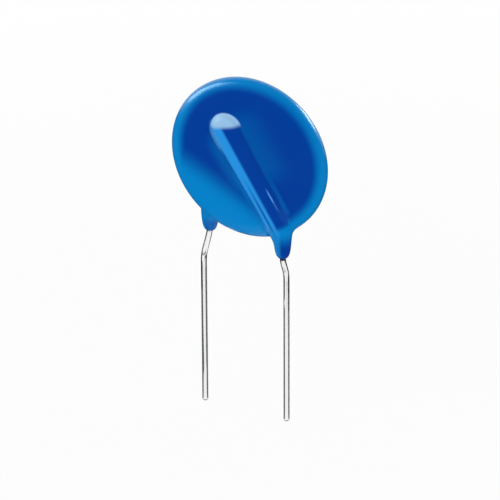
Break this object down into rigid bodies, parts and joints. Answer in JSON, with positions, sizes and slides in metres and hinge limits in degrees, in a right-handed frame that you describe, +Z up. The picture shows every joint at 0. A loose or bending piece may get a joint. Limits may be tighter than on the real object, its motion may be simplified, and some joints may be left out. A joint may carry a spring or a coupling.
{
  "type": "varistor",
  "caption": "Leaded disc varistor: a ceramic disc with soldered wires under a glossy blue epoxy coat, with kinked leads for a circuit board.",
  "frame": {"origin": "midway between the axes of the two leads, at the seating plane: the height where the kinks of the leads end and the leads run on straight", "axes": "+Z up, away from the circuit board, towards the disc; +X along the row of leads; -Y towards the front face of the disc, whose wire goes to the right-hand lead"},
  "size_m": [0.0195, 0.005, 0.043],
  "materials": {
    "blue_epoxy": "glossy dipped epoxy, deep blue on the disc and lighter round the rim and the legs",
    "zinc_oxide": "dark grey sintered ceramic, matt",
    "fired_silver": "fired silver, matt",
    "solder": "bright tin solder",
    "tinned_copper": "bright tinned copper wire"
  },
  "bodies": {
    "root": {"epoxy_coat": "blue_epoxy", "ceramic_disc": "zinc_oxide", "front_electrode": "fired_silver", "rear_electrode": "fired_silver", "front_solder": "solder", "rear_solder": "solder", "front_lead": "tinned_copper", "rear_lead": "tinned_copper"}
  },
  "joints": []
}
